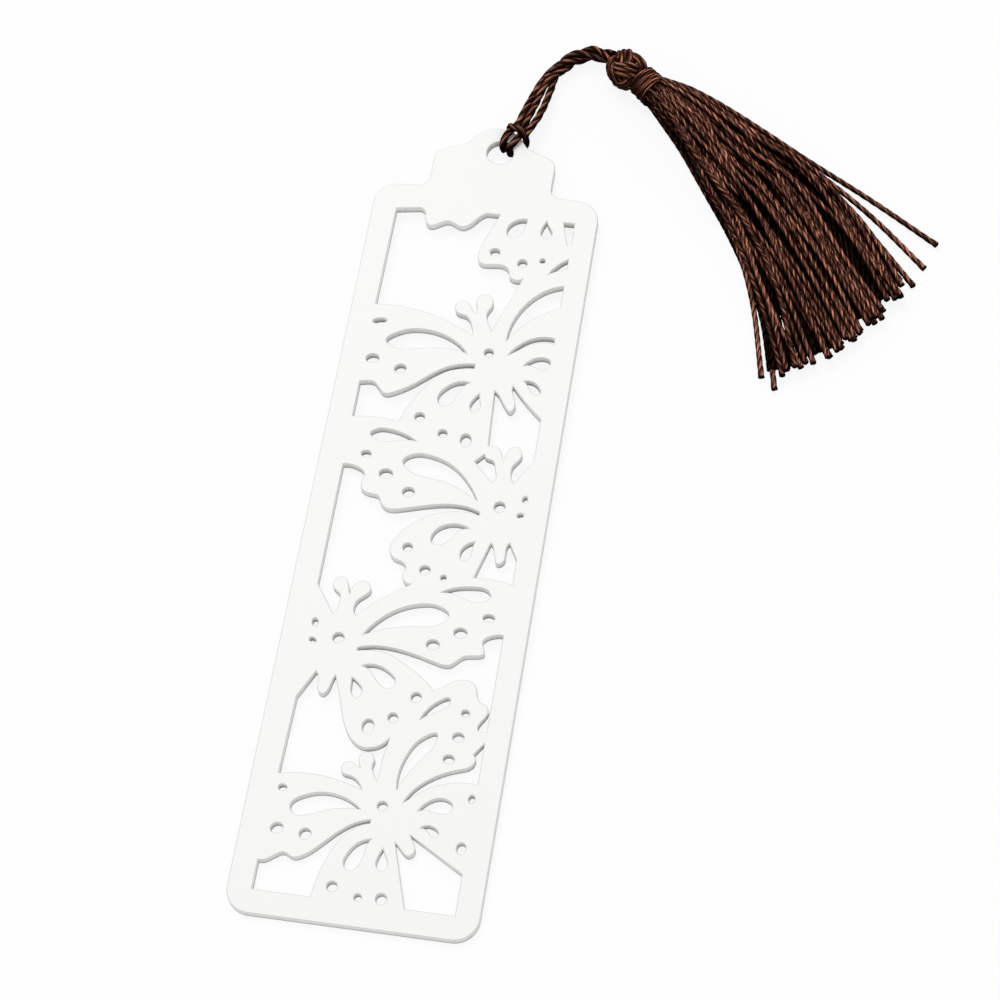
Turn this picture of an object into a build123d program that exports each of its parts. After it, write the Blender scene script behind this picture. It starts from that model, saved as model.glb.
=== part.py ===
from build123d import *
import os
from math import cos, pi, radians, sin, sqrt, tan

# A pierced bookmark plate with a looped cord, a ball knot and a tassel. Millimetres, +Z up.
# The origin is the middle of the plate's back face. The plate's hanging end points along +Y.

# Plate
PLATE_WIDTH = 40.0
PLATE_LENGTH = 150.0  # lower edge to the top of the hanging tab
PLATE_THICKNESS = 1.5
BORDER = 4.0  # plain rim left and right of the openings, and below them
HEAD = 18.2  # from the highest opening to the top of the tab
CORNER_RADIUS = 4.0
SHOULDER_DROP = 14.0  # the outer shoulders lie this far below the tab's top
SHOULDER_RISE = 0.5  # the shoulder climbs this much towards the tab
TAB_WIDTH = 21.8
TAB_HIP_DROP = 5.9  # the tab's outer corners below its top
DOME_SIDE = 35.8  # lean of the small dome's sides, degrees from the middle line
DOME_FOOT_DROP = 3.8
DOME_RADIUS = 5.2
TAB_FOOT_RADIUS = 1.8
TAB_HIP_RADIUS = 2.6
DOME_FOOT_RADIUS = 2.0

# Hanging hole, measured from the tab's top and the middle line
HOLE_DIAMETER = 4.8
HOLE_DROP = 5.2
HOLE_OFFSET = 0.7

# Cord: one strand knotted through the hole, and its loose tail
CORD_DIAMETER = 1.15
CORD_TO_PLATE = 0.2  # air between the cord and the plate's faces
CORD_TO_CORD = 0.1  # air between crossing strands
CORD_TO_BALL = 0.2
FOLD = 0.9  # inner folds round the plate's edge: the bend's radius in cord diameters
IN_HOLE_RADIUS = 1.65  # the strands stand this far from the hole's centre
HITCH_RADIUS = 5.95  # the strands round the plate's edge, from the hole's centre
HITCH_LEFT = 86.0  # directions of those strands seen from the hole, degrees from +X
HITCH_RIGHT = 29.5

# Ball knot, neck and fringe
BALL_DIAMETER = 7.0
BALL_X = 20.6
BALL_Y = 164.95  # from the plate's lower edge
TASSEL_ANGLE = -42.0  # the way the tassel points, degrees from +X
NECK_TO_BALL = 0.2
NECK_DIAMETER = 4.7
WRAP_THREAD = 0.5
WRAP_GAP = 0.45  # between the turns
WRAP_TO_NECK = 0.05
WRAP_TURNS = 3
FLARE_LENGTH = 1.6
STRAND_DIAMETER = 1.0
STRAND_GAP = 0.04
STRAND_TO_FLARE = 0.15
FRINGE_ROWS = 5
FRINGE_COLUMNS = 6
FRINGE_LENGTH = 57.0
RAGGED = 1.1  # how far the cut ends differ
STRAYS_LEFT = 2
STRAYS_RIGHT = 3
STRAY_SPREAD = 0.9


def window(start, *stretches):
    """An opening: a pair is a straight edge to that point, a list is a curve through its points."""
    outline = []
    here = start
    for stretch in stretches:
        points = [stretch] if isinstance(stretch, tuple) else stretch
        outline.append([here, *points])
        here = points[-1]
    return outline


def leaf(tip, *points):
    """A drop-shaped opening: one curve from its sharp tip round to the tip again."""
    return [[tip, *points, tip]]


# The ornament, as points of a drawing: openings between the wings, the feelers and the rim,
# from the top end down
windows = [
    window(
        (-15.8, 111.1),
        (-15.65, 131.0),
        (-11.4, 131.6),
        [(-10.5, 130.8), (-10.1, 129.0), (-9.3, 128.15), (-7.6, 128.7), (-6.0, 129.4), (-4.7, 128.9),
         (-3.5, 128.5), (-2.0, 129.3), (-0.7, 130.9), (0.4, 131.8)],
        (2.75, 131.8),
        [(1.5, 128.3), (0.45, 125.0), (0.2, 123.0), (0.75, 121.6), (2.2, 121.3), (5.0, 121.4),
         (5.95, 120.7), (6.4, 119.3), (7.4, 118.75), (8.7, 119.1)],
        (5.0, 108.2),
        [(4.1, 109.9), (3.75, 111.6), (4.3, 112.9), (4.4, 114.1), (3.7, 115.1), (2.7, 115.35),
         (1.75, 114.7), (1.45, 113.4), (1.85, 112.0), (1.65, 111.35)],
        [(0.8, 112.5), (0.0, 113.4), (-1.0, 113.6), (-1.85, 112.9), (-1.9, 111.6), (-1.2, 110.9),
         (0.1, 110.6), (1.2, 109.3), (1.9, 107.0)],
        [(-1.0, 108.4), (-5.0, 110.05), (-10.0, 111.15), (-15.8, 111.1)],
    ),
    window((14.1, 131.45), (16.0, 131.45), (16.0, 127.0), (15.4, 126.85), (14.1, 131.45)),
    window(
        (13.0, 120.65),
        [(14.2, 122.4), (16.0, 124.0)],
        (16.0, 122.1),
        [(14.6, 121.6), (13.0, 120.65)],
    ),
    window(
        (16.0, 118.45),
        (16.0, 114.2),
        [(13.0, 112.4), (10.2, 109.9), (8.6, 107.7), (7.85, 106.55)],
        [(8.1, 109.2), (9.2, 112.5), (11.2, 115.5), (13.6, 117.5), (16.0, 118.45)],
    ),
    window(
        (8.55, 103.65),
        [(9.9, 105.6), (12.2, 107.35), (16.0, 107.85)],
        (16.0, 106.85),
        [(13.2, 106.7), (10.6, 105.3), (8.55, 103.65)],
    ),
    window(
        (-15.75, 88.75),
        (-15.75, 95.55),
        [(-14.8, 95.75), (-13.4, 95.75), (-12.4, 94.8), (-11.3, 93.75), (-9.2, 94.3), (-5.5, 96.9),
         (-2.0, 99.75), (1.0, 100.95), (3.25, 101.2)],
        (3.25, 100.45),
        [(0.5, 100.0), (-1.5, 99.2), (-3.3, 97.6), (-5.3, 94.7), (-6.8, 91.7), (-7.85, 88.7)],
        [(-11.5, 89.1), (-15.75, 88.75)],
    ),
    window(
        (8.05, 85.9),
        (7.45, 96.45),
        [(8.9, 94.7), (9.9, 93.25), (10.6, 92.75), (11.2, 93.4), (11.0, 95.3), (10.4, 97.75)],
        [(13.0, 94.8), (16.0, 92.0)],
        (16.0, 84.0),
        (13.35, 79.4),
        [(12.75, 80.7), (12.8, 82.6), (13.6, 83.8), (13.95, 84.9), (13.3, 86.1), (12.4, 86.25),
         (11.6, 85.6), (11.2, 84.3), (11.05, 83.05)],
        [(10.8, 84.0), (10.3, 85.2), (9.4, 85.95), (8.05, 85.9)],
    ),
    window(
        (6.25, 82.65),
        (7.65, 84.15),
        [(8.3, 83.4), (9.2, 83.15), (9.85, 81.6), (10.2, 80.0), (9.75, 79.2)],
        [(8.2, 80.7), (6.25, 82.65)],
    ),
    window(
        (-15.65, 57.0),
        (-15.65, 79.4),
        [(-13.0, 79.1), (-11.8, 78.1), (-12.0, 76.5), (-11.8, 75.3), (-10.4, 74.5), (-8.7, 74.15),
         (-8.0, 72.9), (-7.1, 72.15), (-4.0, 72.4), (0.0, 73.5), (4.0, 74.15), (8.6, 73.3)],
        (8.55, 72.8),
        [(6.0, 73.1), (3.0, 72.7), (0.0, 71.5), (-2.6, 69.5), (-4.7, 66.6), (-5.1, 64.6), (-4.2, 63.2),
         (-2.3, 62.4), (-1.85, 61.7), (-2.15, 60.6), (-1.7, 59.2), (-0.45, 58.8)],
        [(-3.5, 56.7), (-6.3, 54.4), (-8.35, 52.1)],
        [(-8.95, 53.2), (-8.6, 54.8), (-7.6, 55.8), (-6.8, 57.0), (-7.4, 58.2), (-8.5, 58.5),
         (-9.6, 57.7), (-10.1, 55.65)],
        [(-10.5, 57.2), (-11.3, 58.6), (-12.4, 58.7), (-13.2, 57.6), (-12.9, 56.5), (-11.9, 55.7),
         (-11.65, 53.6), (-12.2, 52.1)],
        (-15.65, 57.0),
    ),
    window(
        (9.6, 61.35),
        (11.35, 67.85),
        [(12.2, 66.0), (13.2, 64.2), (13.9, 64.7), (14.1, 66.2), (14.45, 68.25)],
        (16.0, 65.4),
        (16.0, 60.9),
        [(13.0, 61.4), (9.6, 61.35)],
    ),
    window(
        (16.0, 51.6),
        [(14.0, 51.2), (12.95, 50.2), (13.3, 48.9), (13.4, 48.0), (12.4, 47.5), (10.3, 47.1), (9.3, 46.2),
         (8.4, 45.4), (5.5, 45.6), (1.0, 46.75), (-2.5, 47.2), (-7.05, 46.5)],
        (-7.05, 46.05),
        [(-4.5, 46.4), (-2.5, 46.25), (0.5, 45.0), (3.5, 43.2), (6.5, 40.6)],
        [(8.6, 42.2), (11.0, 43.2), (12.9, 42.6), (13.5, 41.0), (14.2, 39.65), (15.4, 39.05),
         (15.75, 38.2), (14.9, 36.3), (14.5, 35.2), (16.0, 34.65)],
        (16.0, 51.6),
    ),
    window(
        (-15.6, 23.5),
        (-15.3, 36.8),
        (-13.0, 41.5),
        [(-12.4, 39.5), (-11.9, 38.0), (-11.3, 37.7), (-10.6, 38.3), (-10.1, 40.0), (-9.75, 41.15)],
        [(-8.8, 38.6), (-7.4, 34.4), (-5.6, 31.0), (-3.4, 29.5), (-1.6, 29.6), (0.85, 31.6)],
        [(0.4, 28.8), (0.2, 24.15)],
        [(-0.6, 25.4), (-1.0, 26.8), (-0.85, 27.6), (-1.4, 28.6), (-2.2, 28.9), (-3.1, 28.5),
         (-3.4, 27.4), (-2.85, 25.95)],
        [(-3.8, 26.6), (-4.8, 26.95), (-5.9, 26.1), (-5.6, 24.8), (-4.2, 24.45), (-3.0, 23.8),
         (-2.1, 22.5)],
        [(-6.0, 23.6), (-10.5, 24.1), (-15.6, 23.5)],
    ),
    window(
        (4.9, 21.15),
        [(6.6, 23.9), (9.2, 26.05), (12.6, 27.65), (14.6, 28.6), (15.05, 29.5), (14.6, 30.6)],
        (16.0, 32.7),
        (16.0, 25.75),
        [(13.5, 25.75), (9.8, 24.75), (7.0, 23.0), (4.9, 21.15)],
    ),
    window(
        (-16.0, 4.0),
        (-16.0, 8.75),
        [(-13.6, 9.8), (-12.2, 10.5), (-10.8, 9.9), (-9.2, 10.35), (-6.0, 13.3), (-3.0, 16.1), (0.3, 17.6)],
        (0.3, 17.1),
        [(-1.6, 16.2), (-3.7, 14.2), (-5.3, 11.0), (-6.3, 7.4), (-6.75, 4.0)],
        (-16.0, 4.0),
    ),
    window(
        (4.85, 14.35),
        [(6.3, 12.9), (7.2, 12.45), (8.0, 13.1), (7.7, 14.8), (6.9, 16.0)],
        (16.0, 10.7),
        (16.0, 4.0),
        (8.15, 4.0),
        (4.85, 14.35),
    ),
]

# Drops on the wings, from the top end down
leaves = [
    leaf((7.65, 131.35), (5.9, 131.0), (4.55, 129.4), (4.75, 127.8), (5.7, 127.3), (6.9, 128.1),
         (7.5, 129.6)),
    leaf((11.1, 131.35), (10.5, 129.6), (10.6, 128.4), (11.5, 127.85), (12.35, 128.6), (11.9, 130.0)),
    leaf((1.55, 103.2), (-0.8, 105.3), (-4.5, 106.8), (-8.0, 106.95), (-11.3, 105.75), (-12.7, 104.1),
         (-11.6, 103.1), (-9.0, 102.85), (-5.5, 103.5), (-2.0, 103.85)),
    leaf((11.5, 101.9), (12.7, 103.2), (14.4, 103.9), (15.8, 103.5), (15.9, 102.3), (15.2, 101.6),
         (13.3, 102.0)),
    leaf((12.1, 98.95), (13.6, 98.95), (14.8, 98.0), (15.1, 97.0), (14.5, 96.6), (13.4, 97.4)),
    leaf((2.95, 97.55), (0.9, 97.4), (-1.1, 95.9), (-1.95, 93.9), (-1.3, 92.75), (-0.1, 92.85), (0.8, 93.9),
         (1.7, 96.2)),
    leaf((4.95, 95.6), (4.0, 94.2), (3.8, 92.7), (4.5, 91.95), (5.35, 92.7), (5.2, 94.2)),
    leaf((-3.95, 85.2), (-6.0, 86.2), (-9.0, 86.95), (-11.4, 86.6), (-12.1, 85.9), (-11.0, 84.9),
         (-9.3, 84.6), (-6.8, 85.15)),
    leaf((7.8, 75.5), (5.4, 79.0), (2.2, 81.65), (-1.5, 82.85), (-4.6, 82.5), (-5.7, 81.3), (-4.3, 79.6),
         (-1.5, 78.8), (2.5, 78.1), (5.6, 76.75)),
    leaf((7.35, 70.1), (5.3, 70.65), (3.0, 70.05), (1.5, 68.2), (1.6, 66.95), (2.7, 66.6), (4.0, 67.2),
         (5.3, 69.0)),
    leaf((8.75, 67.75), (7.3, 66.95), (6.65, 65.3), (7.2, 64.2), (8.1, 64.6), (8.45, 66.0)),
    leaf((4.6, 57.95), (7.0, 59.1), (10.0, 59.6), (12.3, 59.2), (12.85, 58.3), (11.8, 57.3), (10.3, 57.05),
         (7.5, 57.8)),
    leaf((-6.65, 48.9), (-4.6, 51.7), (-1.5, 54.2), (2.0, 55.5), (5.0, 55.4), (6.65, 54.1), (5.6, 52.5),
         (3.4, 51.7), (-0.5, 51.2), (-4.0, 50.15)),
    leaf((-5.75, 43.45), (-3.7, 43.85), (-1.4, 43.0), (0.0, 41.2), (-0.7, 40.15), (-2.0, 40.4), (-3.6, 42.0)),
    leaf((-7.0, 41.15), (-5.8, 40.3), (-5.05, 38.8), (-5.7, 37.85), (-6.5, 38.4), (-6.9, 39.8)),
    leaf((5.05, 35.35), (6.2, 37.5), (7.9, 39.15), (9.2, 39.65), (9.3, 38.6), (8.2, 37.5), (6.4, 36.5)),
    leaf((3.5, 23.15), (3.4, 26.2), (4.4, 29.9), (6.2, 32.4), (8.2, 33.3), (8.2, 31.8), (6.7, 29.2),
         (4.7, 26.0)),
    leaf((7.5, 20.1), (8.9, 21.85), (11.0, 22.6), (12.6, 21.8), (12.5, 20.7), (11.3, 20.15), (9.2, 20.4)),
    leaf((-1.6, 19.15), (-4.2, 20.6), (-7.2, 21.15), (-10.4, 20.45), (-12.7, 18.2), (-12.0, 17.15),
         (-9.5, 17.35), (-6.0, 18.7), (-3.5, 19.15)),
    leaf((8.35, 17.3), (9.4, 17.85), (10.7, 17.5), (11.25, 16.6), (10.7, 16.1), (9.7, 16.8)),
    leaf((0.95, 14.45), (-0.9, 13.6), (-2.3, 11.6), (-2.5, 9.7), (-1.5, 9.0), (-0.4, 9.9), (0.2, 12.2)),
    leaf((3.1, 13.15), (2.55, 11.6), (2.6, 10.2), (3.4, 9.55), (4.15, 10.3), (3.9, 11.6)),
]

# Oval piercings: x and y in the drawing, real width and height, and tilt in degrees
dots = [
    (3.1, 124.0, 1.75, 1.5, 0), (8.2, 122.25, 1.65, 1.65, 0), (11.6, 123.2, 0.95, 0.95, 0),
    (-14.5, 107.85, 2.4, 1.0, 12), (5.25, 103.75, 1.6, 1.55, 0), (-14.4, 100.3, 2.2, 1.7, 10),
    (-9.3, 98.85, 2.0, 1.7, 15), (-4.4, 89.95, 1.7, 1.6, 0), (0.0, 87.25, 1.55, 1.5, 0),
    (4.1, 86.45, 1.85, 2.45, 10), (-12.15, 81.85, 1.65, 1.2, 0), (-8.15, 78.5, 2.25, 1.75, 0),
    (-3.8, 75.55, 2.0, 1.75, 0), (15.7, 76.6, 0.8, 1.2, -10), (11.75, 74.7, 1.85, 1.9, 0),
    (15.4, 73.55, 1.1, 0.8, 20), (-2.15, 65.4, 1.6, 1.55, 0), (1.4, 61.65, 1.75, 1.6, 0),
    (4.65, 60.65, 0.95, 0.95, 0), (13.2, 54.4, 1.9, 1.3, 0), (9.05, 51.2, 2.15, 1.75, 0),
    (-14.8, 50.1, 0.95, 1.4, 15), (4.95, 48.6, 2.1, 1.7, 0), (-10.5, 47.8, 1.85, 1.8, 0),
    (-14.6, 46.9, 1.2, 0.8, -25), (3.85, 39.1, 1.65, 1.7, 0), (12.15, 37.4, 1.25, 1.15, 0),
    (0.75, 35.15, 1.55, 1.65, 0), (-2.95, 33.2, 1.85, 2.4, 0), (11.7, 33.2, 1.8, 1.5, 0),
    (10.8, 29.3, 1.75, 1.45, 0), (15.5, 23.15, 0.95, 1.35, 0), (-14.5, 21.15, 1.35, 1.0, 0),
    (1.75, 20.15, 1.6, 1.5, 0), (15.2, 14.85, 1.45, 1.85, 0), (-14.1, 14.35, 1.95, 1.65, 20),
    (-9.5, 14.0, 1.85, 1.7, 30), (-3.7, 6.05, 1.65, 1.6, 0), (4.25, 5.05, 1.7, 1.75, 0),
    (0.6, 4.8, 1.15, 1.15, 0),
]

# The drawing is laid on the plate inside its rim.
drawn = [point for outline in windows + leaves for stretch in outline for point in stretch]
drawn_left = min(x for x, y in drawn)
drawn_foot = min(y for x, y in drawn)
drawn_width = max(x for x, y in drawn) - drawn_left
drawn_length = max(y for x, y in drawn) - drawn_foot
PLATE_FOOT = -PLATE_LENGTH / 2
PLATE_TOP = PLATE_LENGTH / 2
FIELD_WIDTH = PLATE_WIDTH - 2 * BORDER
FIELD_LENGTH = PLATE_LENGTH - BORDER - HEAD


def field_point(x, y):
    """Lay a point of the drawing on the plate, inside its rim."""
    across = (x - drawn_left) / drawn_width - 0.5
    along = (y - drawn_foot) / drawn_length
    return (across * FIELD_WIDTH, PLATE_FOOT + BORDER + along * FIELD_LENGTH)


def cut(outline):
    """The wire of an opening: straight edges and smooth curves, end to end."""
    edges = []
    for stretch in outline:
        placed = [field_point(*point) for point in stretch]
        edges.append(Line(*placed) if len(placed) == 2 else Spline(*placed))
    return Wire(edges)


def oval(x, y, width, height, tilt):
    """The wire of an oval piercing."""
    where = Plane(origin=(*field_point(x, y), 0)).rotated((0, 0, tilt))
    return Wire([Edge.make_ellipse(width / 2, height / 2, where)])


def plate_edge():
    """The plate's outer outline, its right half mirrored to the left."""
    lean = radians(DOME_SIDE)
    # The dome's sides would meet at the apex; the rounding brings it down to the tab's top.
    apex = PLATE_TOP + DOME_RADIUS * (1 / sin(lean) - 1)
    dome_foot = PLATE_TOP - DOME_FOOT_DROP
    right = [
        (PLATE_WIDTH / 2, PLATE_FOOT, CORNER_RADIUS),
        (PLATE_WIDTH / 2, PLATE_TOP - SHOULDER_DROP, CORNER_RADIUS),
        (TAB_WIDTH / 2, PLATE_TOP - SHOULDER_DROP + SHOULDER_RISE, TAB_FOOT_RADIUS),
        (TAB_WIDTH / 2, PLATE_TOP - TAB_HIP_DROP, TAB_HIP_RADIUS),
        ((apex - dome_foot) * tan(lean), dome_foot, DOME_FOOT_RADIUS),
    ]
    left = [(-x, y, radius) for x, y, radius in reversed(right)]
    corners = [*right, (0, apex, DOME_RADIUS), *left]
    points = [(x, y) for x, y, radius in corners]
    return FilletPolyline(*points, radius=[radius for x, y, radius in corners], close=True)


HOLE_X = HOLE_OFFSET
HOLE_Y = PLATE_TOP - HOLE_DROP
hole = Wire([Edge.make_circle(HOLE_DIAMETER / 2, Plane(origin=(HOLE_X, HOLE_Y, 0)))])
openings = [cut(outline) for outline in windows + leaves] + [oval(*dot) for dot in dots]
sheet = Face(Wire(plate_edge().edges()), [hole, *openings])
plate = extrude(sheet, PLATE_THICKNESS, dir=(0, 0, 1))

# Heights of the cord: over the front, under the back, and the bar that crosses the legs
CORD_RADIUS = CORD_DIAMETER / 2
FRONT = PLATE_THICKNESS + CORD_TO_PLATE + CORD_RADIUS
BACK = -CORD_TO_PLATE - CORD_RADIUS
BAR = FRONT + CORD_DIAMETER + CORD_TO_CORD
FLOOR = BACK - CORD_RADIUS  # lowest side of the cord behind the plate


def ground(y):
    """Height of the table: the bookmark lies on its lower edge and on the cord behind the tab."""
    return FLOOR * (y - PLATE_FOOT) / PLATE_LENGTH


BALL_RADIUS = BALL_DIAMETER / 2
BALL = Vector(BALL_X, BALL_Y + PLATE_FOOT, ground(BALL_Y + PLATE_FOOT) + BALL_RADIUS)


def cord_path(points, folds=()):
    """Straight runs joined by arcs. At the places in folds the cord folds round the plate's edge."""
    corners = [Vector(point) for point in points]
    radii = []
    for i in range(1, len(corners) - 1):
        before = corners[i] - corners[i - 1]
        after = corners[i + 1] - corners[i]
        turn = radians(before.get_angle(after))
        roomy = 0.45 * min(before.length, after.length) / tan(turn / 2)
        radii.append(min(roomy, FOLD * CORD_DIAMETER) if i in folds else roomy)
    return FilletPolyline(*corners, radius=radii), radii


def tube(path, diameter):
    """Sweep a round section along a path."""
    across = Plane(origin=path @ 0, z_dir=path % 0)
    return sweep(across * Circle(diameter / 2), path=path)


def from_hole(radius, direction, height):
    """A point seen from the middle of the hole."""
    turn = radians(direction)
    return (HOLE_X + radius * cos(turn), HOLE_Y + radius * sin(turn), height)


# The middle of the three strands, x and y from the tab's top, with the spread and the height of the
# outer strands, and how far the middle strand lies above them
rope = [
    (4.6, 3.0, 1.5, 1.75, 0.1),
    (5.35, 6.3, 1.55, 1.0, 0.1),
    (6.15, 10.3, 1.22, 0.15, 0.35),
    (7.3, 13.7, 0.75, -0.5, 0.95),
    (9.4, 16.9, 0.65, -0.85, 1.08),
    (12.3, 18.75, 0.65, -0.5, 1.08),
    (15.2, 18.9, 0.65, 0.6, 1.08),
]
ENTRY = 138.0  # the strands reach the ball from this direction
reach = BALL_RADIUS + CORD_TO_BALL
entry = BALL + Vector(cos(radians(ENTRY)), sin(radians(ENTRY)), 0) * reach


def strand(side):
    """One of the strands from the plate's edge to the ball: side -1 left, 0 middle, 1 right."""
    stops = [(Vector(x, y + PLATE_TOP, height + (rise if side == 0 else 0)), spread)
             for x, y, spread, height, rise in rope]
    last = Vector(entry.X, entry.Y, BALL.Z + (0.72 if side == 0 else -0.36))
    stops.append((last, 0.65))
    points = []
    for i, (stop, spread) in enumerate(stops):
        ahead = stops[min(i + 1, len(stops) - 1)][0]
        behind = stops[max(i - 1, 0)][0]
        along = Vector(ahead.X - behind.X, ahead.Y - behind.Y, 0).normalized()
        points.append(stop + Vector(along.Y, -along.X, 0) * spread * side)
    return points


LEG_LEFT = 76.0  # where the two legs stand in the hole, degrees from +X
LEG_RIGHT = 11.0
loop_points = [
    *reversed(strand(-1)),
    (2.5, PLATE_TOP + 0.7, FRONT),
    (1.45, PLATE_TOP - 1.2, FRONT),
    from_hole(IN_HOLE_RADIUS, LEG_LEFT, FRONT),
    from_hole(IN_HOLE_RADIUS, LEG_LEFT, BACK),
    from_hole(HITCH_RADIUS, HITCH_LEFT, BACK),
    from_hole(HITCH_RADIUS, HITCH_LEFT, BAR),
    from_hole(HITCH_RADIUS, HITCH_RIGHT, BAR),
    from_hole(HITCH_RADIUS, HITCH_RIGHT, BACK),
    from_hole(IN_HOLE_RADIUS, LEG_RIGHT, BACK),
    from_hole(IN_HOLE_RADIUS, LEG_RIGHT, FRONT),
    (2.85, PLATE_TOP - 2.7, FRONT),
    (4.1, PLATE_TOP + 0.2, FRONT),
    *strand(0),
]
loop_path, loop_radii = cord_path(loop_points, folds=range(10, 18))
cord_loop = tube(loop_path, CORD_DIAMETER)

# The loose tail is caught under the crossing bar.
tail_points = [(4.75, PLATE_TOP - 1.8, FRONT), (5.35, PLATE_TOP + 0.2, FRONT), *strand(1)]
tail_path, tail_radii = cord_path(tail_points)
cord_tail = tube(tail_path, CORD_DIAMETER)

ball_knot = Pos(*BALL) * Sphere(BALL_RADIUS)

# The tassel's own frame: z along the tassel, x across it, y up
heading = Vector(cos(radians(TASSEL_ANGLE)), sin(radians(TASSEL_ANGLE)), 0)
sideways = Vector(-heading.Y, heading.X, 0)
WRAP_PITCH = WRAP_THREAD + WRAP_GAP
NECK_LENGTH = (WRAP_TURNS + 1) * WRAP_PITCH
NECK_START = BALL_RADIUS + NECK_TO_BALL
PITCH = STRAND_DIAMETER + STRAND_GAP
STRANDS = FRINGE_ROWS * FRINGE_COLUMNS
BUNDLE_SPREAD = 0.222  # sideways step from strand to strand at the neck, in pitches
BUNDLE_MIDDLE = 0.7  # the bundle leaves the neck a little to one side
bundle_width = (STRANDS - 1) * BUNDLE_SPREAD * PITCH + STRAND_DIAMETER
bundle_height = (FRINGE_ROWS - 1) * PITCH + STRAND_DIAMETER


def along_tassel(distance):
    """A plane square to the tassel, this far from the ball's centre."""
    return Plane(origin=BALL + heading * distance, x_dir=sideways, z_dir=heading)


neck_end = NECK_START + NECK_LENGTH
neck_round = along_tassel(neck_end) * Circle(NECK_DIAMETER / 2)
flare_plane = along_tassel(neck_end + FLARE_LENGTH) * Pos(BUNDLE_MIDDLE)
flare_round = flare_plane * Ellipse(bundle_width / 2, bundle_height / 2)
neck_core = extrude(along_tassel(NECK_START) * Circle(NECK_DIAMETER / 2), NECK_LENGTH, dir=heading)
neck_core += loft([neck_round, flare_round])


def biarc(start, start_way, end, end_way):
    """Two arcs that leave start and reach end in the given directions, with no kink between them."""
    gap = end - start
    ways = start_way + end_way
    sag = 2 * (1 - start_way.dot(end_way))
    handle = (-gap.dot(ways) + sqrt(gap.dot(ways) ** 2 + sag * gap.dot(gap))) / sag
    middle = (start + end + (start_way - end_way) * handle) * 0.5
    return [TangentArc(start, middle, tangent=start_way), TangentArc(end, middle, tangent=end_way * -1)]


def wrap_stop(quarter):
    """Place and direction on the thread after so many quarter turns."""
    turn = quarter * pi / 2
    radius = (NECK_DIAMETER + WRAP_THREAD) / 2 + WRAP_TO_NECK
    centre = NECK_START + WRAP_PITCH / 2 + WRAP_PITCH * quarter / 4
    up = Vector(0, 0, 1)
    place = BALL + heading * centre + (sideways * cos(turn) + up * sin(turn)) * radius
    way = (up * cos(turn) - sideways * sin(turn)) * radius + heading * WRAP_PITCH / (2 * pi)
    return place, way.normalized()


first, first_way = wrap_stop(0)
final, final_way = wrap_stop(4 * WRAP_TURNS)
thread = [Line(first - first_way * WRAP_THREAD, first)]
for quarter in range(4 * WRAP_TURNS):
    thread += biarc(*wrap_stop(quarter), *wrap_stop(quarter + 1))
thread.append(Line(final, final + final_way * WRAP_THREAD))
wrap_path = Wire([edge.edge() for edge in thread])
neck_wrap = tube(wrap_path, WRAP_THREAD)

# Fringe: at each distance along the fringe, the middle of the fan, the sideways step from strand to
# strand, the rise from row to row (both in pitches) and the lowest row's height above the ground
bundle_lift = BALL_RADIUS - bundle_height / 2
FAN = [
    (0.0, BUNDLE_MIDDLE, BUNDLE_SPREAD, 1.0, bundle_lift),
    (0.17 * FRINGE_LENGTH, 1.7, 0.39, 0.96, 0.35),
    (0.5 * FRINGE_LENGTH, 1.7, 0.71, 0.77, 0.0),
    (FRINGE_LENGTH, -5.5, 0.97, 0.45, 0.0),
]
fringe_start = neck_end + FLARE_LENGTH + STRAND_TO_FLARE


def fringe_points(rank):
    """The route of one strand, ranked from the left edge of the fan to the right."""
    row = rank % FRINGE_ROWS
    outer = max(0, rank - (STRANDS - 1 - STRAYS_RIGHT)) - max(0, STRAYS_LEFT - rank)
    points = []
    for distance, middle, step, rise, lift in FAN:
        across = middle + (rank - (STRANDS - 1) / 2) * step * PITCH
        height = lift + row * rise * PITCH
        if distance == FRINGE_LENGTH and outer:
            across += STRAY_SPREAD * outer * abs(outer)
            height = 0
        place = BALL + heading * (fringe_start + distance) + sideways * across
        points.append(Vector(place.X, place.Y, ground(place.Y) + STRAND_DIAMETER / 2 + height))
    # The cut end lies a little before or past the last point, on the same line.
    last_run = points[-1] - points[-2]
    cut = RAGGED * sin(2.4 * rank) - 1.4 * abs(outer)
    points[-1] = points[-2] + last_run * (1 + cut / last_run.length)
    return points


nodes = {
    "plate": plate,
    "cord_loop": cord_loop,
    "cord_tail": cord_tail,
    "ball_knot": ball_knot,
    "neck_core": neck_core,
    "neck_wrap": neck_wrap,
}
tubes = [("cord_loop", loop_path, CORD_DIAMETER), ("cord_tail", tail_path, CORD_DIAMETER),
         ("neck_wrap", wrap_path, WRAP_THREAD)]
for rank in range(STRANDS):
    name = f"fringe_strand_{rank + 1:02d}"
    path, radii = cord_path(fringe_points(rank))
    nodes[name] = tube(path, STRAND_DIAMETER)
    tubes.append((name, path, STRAND_DIAMETER))

os.makedirs("parts", exist_ok=True)
for name, shape in nodes.items():
    solid = shape.solids()[0]
    solid.label = name
    export_step(solid, f"parts/{name}.step")

# Sizes to compare: a tube's volume against its section times its length
for name, path, diameter in tubes:
    ratio = nodes[name].volume / (pi * diameter**2 / 4 * path.length)
    print(name, "length", round(path.length, 1), "volume ratio", round(ratio, 3))
print("loop radii", [round(radius, 2) for radius in loop_radii])
print("tail radii", [round(radius, 2) for radius in tail_radii])

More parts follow.
